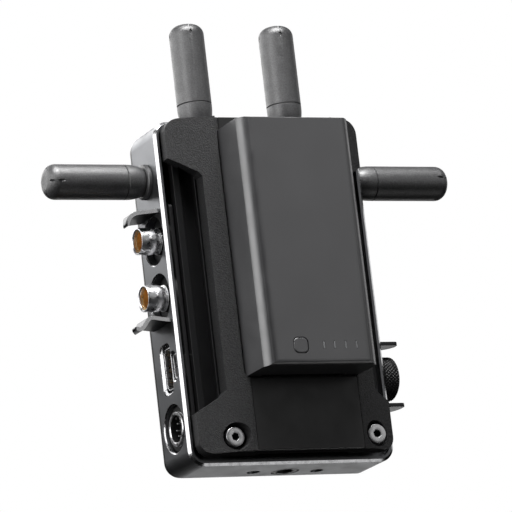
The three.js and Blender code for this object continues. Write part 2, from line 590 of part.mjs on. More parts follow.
function controlDial() {
  const teeth = 32;
  const shape = new THREE.Shape();
  for (let i = 0; i < teeth * 2; i += 1) {
    const angle = (i * Math.PI) / teeth;
    const radius = i % 2 ? DIAL_R : DIAL_R - 0.45;
    const point = [radius * Math.cos(angle), radius * Math.sin(angle)];
    if (i === 0) shape.moveTo(...point);
    else shape.lineTo(...point);
  }
  shape.closePath();
  const turn = new THREE.Matrix4().makeBasis(at(0, 1, 0), at(0, 0, 1), at(1, 0, 0));
  const grip = solid(prism(shape, 6.7, 0.5).applyMatrix4(turn).translate(RIGHT_X + 0.6, PORT_Y, DIAL_Z));
  const dish = rod(6.2, 6.6, 9, RIGHT, DIAL_ORIGIN);
  const bore = rod(2.06, -1, 5, RIGHT, DIAL_ORIGIN, 16);
  return cut(grip, dish, bore);
}
add('control_dial', controlDial(), FINISH.rubber);

const SHAFT_R = 2;
add('dial_encoder', cut(
  block(RIGHT_X - 13, RIGHT_X - WALL - GAP, PORT_Y - 3.3, PORT_Y + 3.3, DIAL_Z - 6, DIAL_Z + 6),
  rod(SHAFT_R + GAP, -9, 0, RIGHT, DIAL_ORIGIN, 16),
), FINISH.steel);
add('dial_shaft', rod(SHAFT_R, -7, 4.6, RIGHT, DIAL_ORIGIN, 16), FINISH.steel);

// ---- antennas -------------------------------------------------------------------------------------

const BUSH_BORE = 3;
const SLEEVE_FROM = 9.3;

function antennaSleeve(direction, origin) {
  const tip = ANTENNA_LENGTH;
  const shoulder = 3.4;
  const profile = [[4.9, SLEEVE_FROM], [ANTENNA_R, SLEEVE_FROM]];
  for (let i = 0; i <= 5; i += 1) {
    const angle = (i * Math.PI) / 10;
    profile.push([
      ANTENNA_R - shoulder + shoulder * Math.cos(angle),
      tip - shoulder + shoulder * Math.sin(angle),
    ]);
  }
  profile.push([0, tip], [0, tip - 2], [4.9, tip - 3.6], [4.9, SLEEVE_FROM]);
  return turned(profile, direction, origin);
}

for (const { name, direction, origin } of ANTENNAS) {
  add(`${name}_socket`, turned([
    [BUSH_BORE, -WALL - 2], [4.7, -WALL - 2], [4.7, 0.15], [6.4, 0.15], [6.4, 1.6], [6.1, 1.9],
    [BUSH_BORE, 1.9], [BUSH_BORE, -WALL - 2],
  ], direction, origin, 20), FINISH.guard);
  add(`${name}_neck`, turned([
    [0, -3], [2.6, -3], [2.6, 2.2], [5.2, 2.2], [5.5, 3], [6.1, 5], [6.35, 7.2], [6.35, SLEEVE_FROM - GAP],
    [4.5, SLEEVE_FROM - GAP], [4.5, 26], [0, 26],
  ], direction, origin, 20), FINISH.antenna);
  add(`${name}_sleeve`, antennaSleeve(direction, origin), FINISH.antenna);
}

// ---- base and inside ------------------------------------------------------------------------------

add('tripod_insert', ring(2.9, INSERT_R, 0.1, BASE_WALL + 0.4, UP, at(0, 0, 0)), FINISH.steel);
add('main_board', rearBlock(LEFT_X + 9, RIGHT_X - 5, -15.5, -13.9, 9, 117), FINISH.board);
add('radio_board', rearBlock(-31, 26, -19.9, -18.7, 106, 121), FINISH.board);

const FAN = { x: -2, z: 62, half: 20 };
const FAN_ORIGIN = at(FAN.x, RIM_Y, FAN.z);

function fanHousing() {
  const { x, z, half } = FAN;
  const frame = slab(roundedRect(x - half, z - half, x + half, z + half, 3), -12.4, -3.2);
  const well = rod(18.2, -11.4, 0, REAR, FAN_ORIGIN, 40);
  const outlet = rearBlock(x - 12, x + 12, -11.4, -4.2, z - half - 1, z - half + 6);
  return join(cut(frame, well, outlet), rod(2, -12, -5, REAR, FAN_ORIGIN, 20));
}
add('fan_housing', fanHousing(), FINISH.dark);

function fanRotor() {
  const hub = rod(8, -10.8, -4, REAR, FAN_ORIGIN);
  const blades = Array.from({ length: 9 }, (_, i) => {
    const blade = new THREE.BoxGeometry(10, 6, 0.9).rotateX(0.35).translate(12.3, 0, 0);
    blade.rotateY((i * 2 * Math.PI) / 9).translate(FAN.x, rearY(-7.4), FAN.z);
    return solid(blade);
  });
  return cut(join(hub, ...blades), rod(2.05, -12, -4.6, REAR, FAN_ORIGIN, 20));
}
add('fan_rotor', fanRotor(), FINISH.dark);

export default unit;
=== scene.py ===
"""Wireless receiver unit: the looks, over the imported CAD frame. Metres, +Z up, battery side towards -Y."""
import math

import bmesh
import bpy
from mathutils import Matrix, Vector


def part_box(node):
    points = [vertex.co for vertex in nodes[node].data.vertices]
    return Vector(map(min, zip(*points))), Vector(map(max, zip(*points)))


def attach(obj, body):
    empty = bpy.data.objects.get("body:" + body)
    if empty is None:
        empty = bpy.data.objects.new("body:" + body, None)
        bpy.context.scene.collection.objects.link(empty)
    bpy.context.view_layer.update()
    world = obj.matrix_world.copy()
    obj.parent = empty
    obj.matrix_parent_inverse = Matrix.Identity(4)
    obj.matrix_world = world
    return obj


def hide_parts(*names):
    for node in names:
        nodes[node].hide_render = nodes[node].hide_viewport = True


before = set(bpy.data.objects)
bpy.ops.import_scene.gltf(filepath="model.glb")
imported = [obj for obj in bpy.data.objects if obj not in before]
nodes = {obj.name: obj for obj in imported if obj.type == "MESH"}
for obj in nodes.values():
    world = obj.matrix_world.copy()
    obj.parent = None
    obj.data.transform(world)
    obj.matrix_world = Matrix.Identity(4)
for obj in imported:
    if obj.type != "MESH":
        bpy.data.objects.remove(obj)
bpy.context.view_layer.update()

MM = 0.001

# ---- places read from the CAD frame ----

housing_lo, housing_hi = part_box("mid_frame")
cover_lo, cover_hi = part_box("rear_cover")
plate_lo, plate_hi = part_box("battery_plate")
case_lo, case_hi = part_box("battery_case")
RIM_Y = housing_lo.y
LEFT_X, RIGHT_X = housing_lo.x, housing_hi.x
TOP_Z = housing_hi.z
FRONT_Y = housing_hi.y
WALL = 3 * MM

X, Y, Z = Vector((1, 0, 0)), Vector((0, 1, 0)), Vector((0, 0, 1))


def middle(node):
    low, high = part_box(node)
    return (low + high) / 2


def rear(x, z, height):
    """A point at a height over the rim plane, towards the battery side."""
    return Vector((x, RIM_Y - height, z))


# ---- camera and light ----

AIM = Vector((-8.6, -14.3, 75.9)) * MM
CAMERA_AZIMUTH = math.radians(-26.3)
CAMERA_ELEVATION = math.radians(-13.3)
CAMERA_ROLL = math.radians(-6.65)
CAMERA_DISTANCE = 1.54
CAMERA_LENS = 302.8
FLOOR_Z = -1.1
# A lamp that points straight down keeps this small level share, so that it still has a sideways axis.
LEAST_LEVEL = 1e-6


def look(azimuth, elevation):
    """The direction from a viewer at that azimuth and elevation towards the object."""
    flat = max(math.cos(elevation), LEAST_LEVEL)
    return Vector((-math.sin(azimuth) * flat, math.cos(azimuth) * flat, -math.sin(elevation)))


def aimed(place, forward, roll=0.0):
    right = forward.cross(Z).normalized()
    up = right.cross(forward)
    turn = Matrix((right, up, -forward)).transposed().to_4x4()
    return Matrix.Translation(place) @ turn @ Matrix.Rotation(roll, 4, "Z")


def add_camera():
    data = bpy.data.cameras.new("camera")
    data.lens = CAMERA_LENS
    data.sensor_width = 36
    data.clip_end = 20
    camera = bpy.data.objects.new("camera", data)
    bpy.context.scene.collection.objects.link(camera)
    forward = look(CAMERA_AZIMUTH, CAMERA_ELEVATION)
    camera.matrix_world = aimed(AIM - forward * CAMERA_DISTANCE, forward, CAMERA_ROLL)
    bpy.context.scene.camera = camera


def add_softbox(name, azimuth, elevation, distance, size, radiance, target=AIM):
    """A rectangular lamp on the side of that azimuth and elevation. Its radiance is the same at any size."""
    data = bpy.data.lights.new(name, "AREA")
    data.shape = "RECTANGLE"
    data.size, data.size_y = size
    data.energy = radiance * math.pi * size[0] * size[1]
    data.spread = math.pi
    lamp = bpy.data.objects.new(name, data)
    bpy.context.scene.collection.objects.link(lamp)
    forward = look(math.radians(azimuth), math.radians(elevation))
    lamp.matrix_world = aimed(target - forward * distance, forward)


# name, azimuth and elevation of the lamp, distance, width and height, radiance
SOFTBOXES = [
    ("key", -68, 12, 0.9, (0.50, 0.80), 2.7),
    ("key_back", -112, 15, 0.9, (0.40, 0.80), 2.27),
    ("top", -10, 68, 0.8, (0.60, 0.40), 14.4),
    ("fill", 48, 12, 1.3, (1.60, 0.80), 0.36),
    ("right_back", 116, 13, 1.0, (0.35, 0.50), 1.0),
    ("low_front", 62, -61, 1.0, (0.34, 0.34), 0.9),
    ("back_left", -155, 28, 0.4, (0.35, 0.20), 2.08),
    ("low_back", 155, -14, 1.2, (0.90, 0.30), 1.25),
    ("display_fill", 170, 25, 1.5, (1.00, 1.00), 1.6),
]
FLOOR_REACH = 6.0
FLOOR_LIGHT = 1.15
DIM = 0.004


def add_studio():
    """Softboxes in a dim room, in front of a white cut-out background that lights nothing."""
    world = bpy.data.worlds.new("studio")
    world.use_nodes = True
    tree = world.node_tree
    background = tree.nodes["Background"]
    background.inputs["Color"].default_value = (1, 1, 1, 1)
    seen = tree.nodes.new("ShaderNodeLightPath")
    level = tree.nodes.new("ShaderNodeMapRange")
    level.inputs["To Min"].default_value = DIM
    level.inputs["To Max"].default_value = 1.0
    tree.links.new(seen.outputs["Is Camera Ray"], level.inputs["Value"])
    tree.links.new(level.outputs["Result"], background.inputs["Strength"])
    bpy.context.scene.world = world
    bpy.context.scene.view_settings.view_transform = "Standard"
    for softbox in SOFTBOXES:
        add_softbox(*softbox)
    above_floor = Vector((0, 0, FLOOR_Z / 2))
    add_softbox("floor_light", 0, 90, 0, (2 * FLOOR_REACH, 2 * FLOOR_REACH), FLOOR_LIGHT, above_floor)
    mesh = bpy.data.meshes.new("floor")
    signs = ((-1, -1), (1, -1), (1, 1), (-1, 1))
    corners = [(x * FLOOR_REACH, y * FLOOR_REACH, FLOOR_Z) for x, y in signs]
    mesh.from_pydata(corners, [], [(0, 1, 2, 3)])
    floor = bpy.data.objects.new("floor", mesh)
    bpy.context.scene.collection.objects.link(floor)
    floor.data.materials.append(MATERIALS["floor"])
    # The floor sends no light back up, because the undersides are dark in the photo.
    floor.visible_diffuse = False
    floor.visible_glossy = False


# ---- materials ----

TEXTURE_LOW, TEXTURE_HIGH = 0.3, 0.7
LEAST_ROUGHNESS = 0.02


class Paint:
    """A small helper for one node material: colour variation, roughness variation and relief."""

    def __init__(self, name, colour, roughness, metallic=0.0, coat=0.0, specular=0.5):
        self.material = bpy.data.materials.new(name)
        self.material.use_nodes = True
        self.tree = self.material.node_tree
        self.shader = self.tree.nodes["Principled BSDF"]
        self.colour, self.roughness = colour, roughness
        self.shader.inputs["Metallic"].default_value = metallic
        self.shader.inputs["Coat Weight"].default_value = coat
        self.shader.inputs["Coat Roughness"].default_value = 0.2
        self.shader.inputs["Specular IOR Level"].default_value = specular
        self.place = self.tree.nodes.new("ShaderNodeTexCoord").outputs["Object"]
        self.normal = None

    def link(self, source, target):
        self.tree.links.new(source, target)

    def noise(self, scale, detail=3.0, rough=0.55):
        noise = self.tree.nodes.new("ShaderNodeTexNoise")
        noise.inputs["Scale"].default_value = scale
        noise.inputs["Detail"].default_value = detail
        noise.inputs["Roughness"].default_value = rough
        self.link(self.place, noise.inputs["Vector"])
        return noise.outputs["Fac"]

    def cells(self, scale):
        cells = self.tree.nodes.new("ShaderNodeTexVoronoi")
        cells.inputs["Scale"].default_value = scale
        self.link(self.place, cells.inputs["Vector"])
        return cells.outputs["Distance"]

    def spread(self, source, low, high):
        """Maps the middle of a texture's range to low..high, and cuts off what lies beyond."""
        ramp = self.tree.nodes.new("ShaderNodeMapRange")
        ramp.inputs["From Min"].default_value = TEXTURE_LOW
        ramp.inputs["From Max"].default_value = TEXTURE_HIGH
        ramp.inputs["To Min"].default_value = low
        ramp.inputs["To Max"].default_value = high
        self.link(source, ramp.inputs["Value"])
        return ramp.outputs["Result"]

    def vary_colour(self, source, amount):
        """Lightens and darkens the base colour by that share."""
        mix = self.tree.nodes.new("ShaderNodeMix")
        mix.data_type = "RGBA"
        mix.inputs["A"].default_value = (*[c * (1 - amount) for c in self.colour], 1)
        mix.inputs["B"].default_value = (*[min(1, c * (1 + amount)) for c in self.colour], 1)
        self.link(self.spread(source, 0, 1), mix.inputs["Factor"])
        self.link(mix.outputs["Result"], self.shader.inputs["Base Color"])

    def vary_roughness(self, source, amount):
        low, high = self.roughness - amount, self.roughness + amount
        self.link(self.spread(source, max(LEAST_ROUGHNESS, low), high), self.shader.inputs["Roughness"])

    def relief(self, source, height):
        bump = self.tree.nodes.new("ShaderNodeBump")
        bump.inputs["Strength"].default_value = 1.0
        bump.inputs["Distance"].default_value = height
        self.link(source, bump.inputs["Height"])
        if self.normal is not None:
            self.link(self.normal, bump.inputs["Normal"])
        self.normal = bump.outputs["Normal"]
        self.link(self.normal, self.shader.inputs["Normal"])


def moulded(name, colour, roughness, grain_scale, grain_height, coat=0.0, metallic=0.0, specular=0.5):
    """Moulded or coated surface with a fine grain and slow changes of tone."""
    paint = Paint(name, colour, roughness, metallic, coat, specular)
    paint.vary_colour(paint.noise(45, 2), 0.08)
    paint.vary_roughness(paint.noise(160, 3), 0.05)
    paint.relief(paint.noise(grain_scale, 4), grain_height)
    return paint.material


def coarse_coat(name, colour, roughness, grain_scale, grain_height, specular=0.5):
    """Black powder coat: rounded pimples over a fine grain."""
    paint = Paint(name, colour, roughness, specular=specular)
    grain = paint.noise(grain_scale, 2, rough=0.6)
    paint.vary_colour(grain, 0.75)
    paint.vary_roughness(paint.noise(300, 3), 0.06)
    paint.relief(grain, grain_height)
    paint.relief(paint.noise(grain_scale * 3, 2), grain_height * 0.25)
    return paint.material


def blasted_metal(name, colour, roughness, grain_height=0.00001):
    """Bead-blasted, anodised aluminium."""
    paint = Paint(name, colour, roughness, 1.0)
    paint.vary_colour(paint.noise(30, 3), 0.05)
    paint.vary_roughness(paint.noise(120, 4), 0.04)
    paint.relief(paint.noise(5200, 2), grain_height)
    return paint.material


def machined_metal(name, colour, roughness, grain_scale=2500, height=0.000004):
    """Bright plated or machined metal with a faint, even texture."""
    paint = Paint(name, colour, roughness, 1.0)
    paint.vary_colour(paint.noise(260, 3), 0.06)
    paint.vary_roughness(paint.noise(700, 3), roughness * 0.3)
    paint.relief(paint.noise(grain_scale, 2), height)
    return paint.material


def glossy_glass(name, colour):
    paint = Paint(name, colour, 0.06, 0.0, coat=1.0)
    paint.vary_colour(paint.noise(20, 2), 0.2)
    paint.vary_roughness(paint.noise(90, 4), 0.025)
    paint.relief(paint.noise(60, 2), 0.000004)
    return paint.material


def circuit_board(name):
    paint = Paint(name, (0.012, 0.09, 0.035), 0.35, 0.0, coat=0.3)
    tracks = paint.cells(900)
    paint.vary_colour(tracks, 0.5)
    paint.vary_roughness(paint.noise(800, 2), 0.1)
    paint.relief(tracks, 0.00004)
    return paint.material


def pale_floor(name):
    paint = Paint(name, (0.86, 0.86, 0.86), 0.9)
    paint.vary_colour(paint.noise(3, 2), 0.02)
    paint.vary_roughness(paint.noise(5, 2), 0.05)
    return paint.material


MATERIALS = {
    "blasted": blasted_metal("blasted_aluminium", (0.25, 0.254, 0.264), 0.42),
    "polished": machined_metal("polished_rim", (0.56, 0.56, 0.57), 0.24, height=0.0000015),
    "coat": coarse_coat("rear_cover_coat", (0.021, 0.021, 0.022), 0.52, 1900, 0.0002, specular=0.6),
    "satin": moulded("satin_black", (0.024, 0.024, 0.0245), 0.36, 5000, 0.000006, specular=0.55),
    # Black anodised fins; also given to the steel tripod insert as painted shade.
    "fins": moulded("black_anodised_and_painted_shade", (0.012, 0.012, 0.013), 0.42, 3500, 0.00001, metallic=0.4),
    "battery": moulded("battery_charcoal", (0.067, 0.067, 0.070), 0.34, 4200, 0.000008, specular=1.0),
    "antenna": coarse_coat("antenna_charcoal", (0.050, 0.050, 0.052), 0.46, 2200, 0.00006, specular=1.0),
    "nickel": machined_metal("nickel_plate", (0.92, 0.92, 0.93), 0.32),
    "gold": machined_metal("gold_plate", (0.66, 0.42, 0.15), 0.24),
    "brass": machined_metal("dull_brass", (0.78, 0.52, 0.22), 0.5),
    # Black moulding, the power port core's own colour; also used as painted shade on metal deep in recesses
    # and inside screw sockets.
    "recess": moulded("black_plastic_and_painted_shade", (0.006, 0.006, 0.006), 0.55, 3000, 0.00001),
    "guard": blasted_metal("guard_metal", (0.07, 0.07, 0.073), 0.38),
    # A bright metal used only as a painted highlight on the left guards' near edges.
    "guard_edge_painted_highlight": machined_metal("guard_edge_painted_highlight", (0.85, 0.85, 0.86), 0.25),
    "rubber": moulded("dial_rubber", (0.010, 0.010, 0.011), 0.5, 3000, 0.00001),
    "moulding": moulded("black_moulding", (0.010, 0.010, 0.011), 0.48, 3200, 0.00001),
    "board": circuit_board("circuit_board"),
    "foil": machined_metal("cell_foil", (0.62, 0.64, 0.66), 0.35, 900, 0.00002),
    "light": moulded("light_guide", (0.23, 0.235, 0.24), 0.3, 4000, 0.000004, coat=0.4),
    "glass": glossy_glass("display_glass", (0.006, 0.006, 0.008)),
    "floor": pale_floor("pale_floor"),
}

DENSE_IOR = 1.7


def make_dense(*names):
    """Raises the index of refraction, so that these mouldings reflect more."""
    for name in names:
        shader = MATERIALS[name].node_tree.nodes["Principled BSDF"]
        shader.inputs["IOR"].default_value = DENSE_IOR


make_dense("battery", "antenna")


# ---- mesh tools ----

SAME_POINT = 1e-7
# A ring on the axis keeps this radius until its points are merged.
AXIS_RADIUS = 1e-9


def new_object(name, mesh):
    piece = bpy.data.objects.new(name, mesh)
    bpy.context.scene.collection.objects.link(piece)
    return piece


def loft(name, rings, closed_loop=False):
    """A solid skin through rings of points. Its ends are capped, or joined if the loop is closed."""
    count = len(rings[0])
    points = [point for ring in rings for point in ring]
    faces = []
    spans = len(rings) if closed_loop else len(rings) - 1
    for i in range(spans):
        this, after = i * count, ((i + 1) % len(rings)) * count
        for j in range(count):
            k = (j + 1) % count
            faces.append((this + j, this + k, after + k, after + j))
    if not closed_loop:
        faces.append(tuple(reversed(range(count))))
        faces.append(tuple(range((len(rings) - 1) * count, len(rings) * count)))
    mesh = bpy.data.meshes.new(name)
    mesh.from_pydata(points, [], faces)
    edit = bmesh.new()
    edit.from_mesh(mesh)
    bmesh.ops.remove_doubles(edit, verts=edit.verts, dist=SAME_POINT)
    bmesh.ops.recalc_face_normals(edit, faces=edit.faces)
    edit.to_mesh(mesh)
    edit.free()
    return new_object(name, mesh)


def rounded_outline(u0, v0, u1, v1, radius, steps=12):
    """Points of a rectangle with round corners."""
    centres = [(u1 - radius, v0 + radius), (u1 - radius, v1 - radius),
               (u0 + radius, v1 - radius), (u0 + radius, v0 + radius)]
    points = []
    for corner, (u, v) in enumerate(centres):
        for step in range(steps + 1):
            angle = math.pi / 2 * (corner - 1 + step / steps)
            points.append((u + radius * math.cos(angle), v + radius * math.sin(angle)))
    return points


def rear_prism(name, outline, low, high):
    """An outline in X and Z, from one height over the rim plane to another."""
    return loft(name, [[rear(x, z, h) for x, z in outline] for h in (low, high)])


def side_prism(name, outline, x0, x1):
    """An outline in Y and Z, from x0 to x1."""
    return loft(name, [[Vector((x, y, z)) for y, z in outline] for x in (x0, x1)])


def section_prism(name, outline, z0, z1):
    """An outline in X and height over the rim plane, from z0 to z1."""
    return loft(name, [[rear(x, z, h) for x, h in outline] for z in (z0, z1)])


def rear_block(name, x0, x1, low, high, z0, z1):
    return section_prism(name, [(x0, low), (x1, low), (x1, high), (x0, high)], z0, z1)


def circle(origin, direction, radius, along, sides):
    side = direction.orthogonal().normalized()
    other = direction.cross(side)
    centre = origin + direction * along
    points = []
    for i in range(sides):
        angle = 2 * math.pi * i / sides
        points.append(centre + (side * math.cos(angle) + other * math.sin(angle)) * radius)
    return points


def turned(name, profile, direction, origin, sides=96):
    """A turned solid from pairs of radius and distance along the axis. A closed profile makes a ring."""
    closed = profile[0] == profile[-1]
    stations = profile[:-1] if closed else profile
    rings = [circle(origin, direction, max(radius, AXIS_RADIUS), along, sides) for radius, along in stations]
    return loft(name, rings, closed_loop=closed)


def in_mm(profile):
    return [(radius * MM, along * MM) for radius, along in profile]


def rod(name, radius, start, end, direction, origin, sides=64):
    return turned(name, [(radius, start), (radius, end)], direction, origin, sides)


def applied(piece):
    """Replaces the mesh with what its modifiers make, and clears them."""
    bpy.context.view_layer.update()
    graph = bpy.context.evaluated_depsgraph_get()
    mesh = bpy.data.meshes.new_from_object(piece.evaluated_get(graph), depsgraph=graph)
    piece.modifiers.clear()
    old = piece.data
    piece.data = mesh
    bpy.data.meshes.remove(old)
    return piece


def boolean(piece, tools, operation):
    for tool in tools:
        step = piece.modifiers.new("cut", "BOOLEAN")
        step.operation = operation
        step.solver = "EXACT"
        step.object = tool
    applied(piece)
    for tool in tools:
        bpy.data.objects.remove(tool)
    return piece


def carve(piece, *tools):
    return boolean(piece, tools, "DIFFERENCE")


def merge(piece, *tools):
    return boolean(piece, tools, "UNION")


def common(piece, *tools):
    return boolean(piece, tools, "INTERSECT")


def soften(piece, width, segments=2, angle=32):
    """Rounds the edges, then shades smooth with the flats kept flat."""
    bevel = piece.modifiers.new("bevel", "BEVEL")
    bevel.width = width
    bevel.segments = segments
    bevel.limit_method = "ANGLE"
    bevel.angle_limit = math.radians(angle)
    bevel.use_clamp_overlap = True
    bevel.miter_outer = "MITER_ARC"
    applied(piece)
    return smooth(piece)


def smooth(piece, angle=42):
    mesh = piece.data
    mesh.polygons.foreach_set("use_smooth", [True] * len(mesh.polygons))
    mesh.set_sharp_from_angle(angle=math.radians(angle))
    weight = piece.modifiers.new("weight", "WEIGHTED_NORMAL")
    weight.keep_sharp = True
    weight.weight = 80
    return applied(piece)


def finish(piece, material, body, slot, *replaced):
    """Gives the piece its material and its body, and hides the CAD nodes that it stands for. The slot
    argument is not used.
    """
    piece.data.materials.clear()
    piece.data.materials.append(MATERIALS[material])
    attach(piece, body)
    if replaced:
        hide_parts(*replaced)
    return piece


def second_material(piece, material, chosen):
    """Gives the faces that chosen(centre, normal) picks a second material."""
    piece.data.materials.append(MATERIALS[material])
    for face in piece.data.polygons:
        if chosen(face.center, face.normal):
            face.material_index = 1


# ---- housing ----

ANTENNAS = {
    "antenna_top_left": Z,
    "antenna_top_right": Z,
    "antenna_side_left": -X,
    "antenna_side_right": X,
}
BNCS = ("video_out_upper", "video_out_lower")
RECESS_RADIUS = 8.5 * MM
RECESS_DEPTH = 5 * MM


def antenna_root(name):
    """The point on the housing's face that the antenna's axis leaves from."""
    low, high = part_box(f"{name}_socket")
    centre = (low + high) / 2
    direction = ANTENNAS[name]
    if direction == Z:
        return Vector((centre.x, centre.y, TOP_Z))
    return Vector((LEFT_X if direction == -X else RIGHT_X, centre.y, centre.z))


def port_root(node):
    centre = middle(node)
    return Vector((LEFT_X, centre.y, centre.z))


def slot_outline(node, margin, radius):
    low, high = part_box(node)
    return rounded_outline(low.y - margin, low.z - margin, high.y + margin, high.z + margin, radius, 8)


def flared_slot(outline, lip, drop):
    """A pocket into the left side face, with a chamfer round its mouth."""
    middle_y = sum(y for y, _ in outline) / len(outline)
    middle_z = sum(z for _, z in outline) / len(outline)
    half_y = max(y for y, _ in outline) - middle_y
    half_z = max(z for _, z in outline) - middle_z

    def ring(x, extra):
        wide, high = 1 + extra / half_y, 1 + extra / half_z
        return [Vector((x, middle_y + (y - middle_y) * wide, middle_z + (z - middle_z) * high))
                for y, z in outline]

    outside = MM
    return loft("slot", [ring(LEFT_X + RECESS_DEPTH, 0), ring(LEFT_X + drop, 0), ring(LEFT_X, lip),
                         ring(LEFT_X - outside, lip * (1 + outside / drop))])


def flared_hole(node, radius, lip, drop):
    """A round recess in the left side face, with a chamfer round its mouth."""
    outside = MM
    profile = [(radius, -RECESS_DEPTH), (radius, -drop), (radius + lip, 0),
               (radius + lip * (1 + outside / drop), outside)]
    return turned("recess", profile, -X, port_root(node), 128)


RIM_CHAMFER = 0.95 * MM
RIM_WALL = 1.85 * MM
REBATE_DEPTH = 3.6 * MM
PIN_X = 12.6 * MM
VENT_HALF, VENT_DEPTH, VENT_LENGTH = 0.9 * MM, 2.2 * MM, 13 * MM
LIP_DEPTH = 0.85 * MM
LIPS_TOP_Z = 96 * MM


def make_mid_frame():
    corner, base_wall, front_edge = 6 * MM, 6 * MM, 0.25 * MM
    depth = FRONT_Y - RIM_Y

    def outline(inset, radius, foot=None):
        low = inset if foot is None else foot
        return rounded_outline(LEFT_X + inset, low, RIGHT_X - inset, TOP_Z - inset, radius, 16)

    def ring(inset, height):
        return [rear(x, z, height) for x, z in outline(inset, corner - inset)]

    frame_piece = loft("mid_frame_body", [ring(front_edge, -depth), ring(0, -depth + front_edge),
                                          ring(0, -RIM_CHAMFER), ring(RIM_CHAMFER, 0)])
    tools = [
        rear_prism("cavity", outline(WALL, 2 * MM, base_wall), -depth - MM, MM),
        rear_prism("rebate", outline(RIM_WALL, corner - RIM_WALL), -REBATE_DEPTH, MM),
    ]
    tools += [rod("hole", 5 * MM, -RECESS_DEPTH, MM, ANTENNAS[name], antenna_root(name)) for name in ANTENNAS]
    tools += [flared_hole(f"{name}_shell", RECESS_RADIUS, 0.5 * MM, 0.45 * MM) for name in BNCS]
    tools.append(flared_hole("power_port_shell", RECESS_RADIUS, 0.45 * MM, 0.4 * MM))
    tools.append(flared_slot(slot_outline("hdmi_port_shell", 0.6 * MM, 2.1 * MM), 1.0 * MM, 0.8 * MM))
    tools.append(flared_slot(slot_outline("usb_port_shell", 0.5 * MM, 2.08 * MM), 0.6 * MM, 0.5 * MM))
    shaft = middle("dial_shaft")
    tools.append(rod("hole", 3.4 * MM, -RECESS_DEPTH, MM, X, Vector((RIGHT_X, shaft.y, shaft.z))))
    tools.append(rod("thread", 5.1 * MM, -MM, 8 * MM, Z, Vector((0, 0, 0))))
    for side in (-1, 1):
        pin = Vector((side * PIN_X, 0, 0))
        profile = [(2.4 * MM, -MM), (2.4 * MM, 0.05 * MM), (1.9 * MM, 0.55 * MM), (1.9 * MM, 4.5 * MM)]
        tools.append(turned("pin_hole", profile, Z, pin, 48))
    carve(frame_piece, *tools)
    slots = []
    for depth_mm in (5, 10, 15):
        y = RIM_Y + depth_mm * MM
        vent = rounded_outline(y - VENT_HALF, TOP_Z - VENT_DEPTH, y + VENT_HALF, TOP_Z + 3 * MM, 0.85 * MM, 6)
        for x0, x1 in ((LEFT_X - MM, LEFT_X + VENT_LENGTH), (RIGHT_X - VENT_LENGTH, RIGHT_X + MM)):
            slots.append(side_prism("vent_slot", vent, x0, x1))
    carve(frame_piece, *slots)
    soften(frame_piece, 0.16 * MM, 2, 38)
    finish(frame_piece, "blasted", "housing", "frame_metal", "mid_frame")

    def bright(centre, normal):
        """The rim's chamfer, and the chamfers round the recesses in the left side."""
        on_rim = centre.y < RIM_Y + RIM_CHAMFER * 0.97 and -0.85 < normal.y < -0.5
        on_lip = centre.x < LEFT_X + LIP_DEPTH and centre.z < LIPS_TOP_Z and -0.9 < normal.x < -0.35
        return on_rim or (on_lip and abs(normal.y) + abs(normal.z) > 0.4 and centre.y > RIM_Y + 2 * MM)

    second_material(frame_piece, "polished", bright)


def make_front_panel():
    inset, corner, round_over = 0.5 * MM, 5.5 * MM, 2.2 * MM
    low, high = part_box("front_panel")
    screen_lo, screen_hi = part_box("display_window")

    def ring(extra, y):
        outline = rounded_outline(low.x + extra, low.z + extra, high.x - extra, high.z - extra,
                                  corner - extra, 14)
        return [Vector((x, y, z)) for x, z in outline]

    rings = [ring(0, low.y), ring(0, high.y - round_over)]
    for step in range(1, 9):
        angle = math.pi / 2 * step / 8
        rings.append(ring(round_over * (1 - math.cos(angle)), high.y - round_over * (1 - math.sin(angle))))
    panel = loft("front_panel_body", rings)
    margin = 0.35 * MM
    opening = rounded_outline(screen_lo.x - margin, screen_lo.z - margin,
                              screen_hi.x + margin, screen_hi.z + margin, 2 * MM)
    border = 3.5 * MM
    hollow = rounded_outline(low.x + border, border, high.x - border, high.z - border, 4 * MM)
    carve(panel, rear_prism("opening", opening, RIM_Y - high.y - MM, RIM_Y - low.y + MM),
          rear_prism("hollow", hollow, RIM_Y - high.y + 2 * MM, RIM_Y - low.y + MM))
    soften(panel, 0.2 * MM, 2, 40)
    finish(panel, "satin", "housing", "plate_plastic", "front_panel")


# ---- rear cover and battery plate ----

COVER_EDGE = 4.5 * MM
COVER_FLAT = 10.4 * MM
POCKET_FLOOR = 8.1 * MM
CREASE_X = 21.1 * MM
WINDOW_X = 29.5 * MM
POCKET_HALF = 23 * MM
SCREW_NODES = ("cover_screw_left", "cover_screw_right")
STEM_HALF, LIP_HALF, LIP_TOP = 0.8 * MM, 1.8 * MM, 2.2 * MM
RAIL_Z0, RAIL_Z1 = 48 * MM, 108 * MM
# A screw's hex socket gets the black material as painted shade inside this radius and below this height over
# the rim plane.
SOCKET_RADIUS = 1.7 * MM
SOCKET_SHADE = 6.9 * MM


def on_rim_plane(node):
    centre = middle(node)
    return Vector((centre.x, RIM_Y, centre.z))


def window_outline(side):
    foot, top, slope, reach = 24 * MM, 105 * MM, 0.55, 16 * MM
    inner, outer = side * WINDOW_X, side * (WINDOW_X + reach)
    round_off = 1.4 * MM
    return [
        (inner, foot + round_off),
        (inner + side * round_off, foot - round_off * slope * 0.4),
        (outer, foot - reach * slope),
        (outer, top + reach * slope),
        (inner + side * round_off, top + round_off * slope * 0.4),
        (inner, top - round_off),
    ]


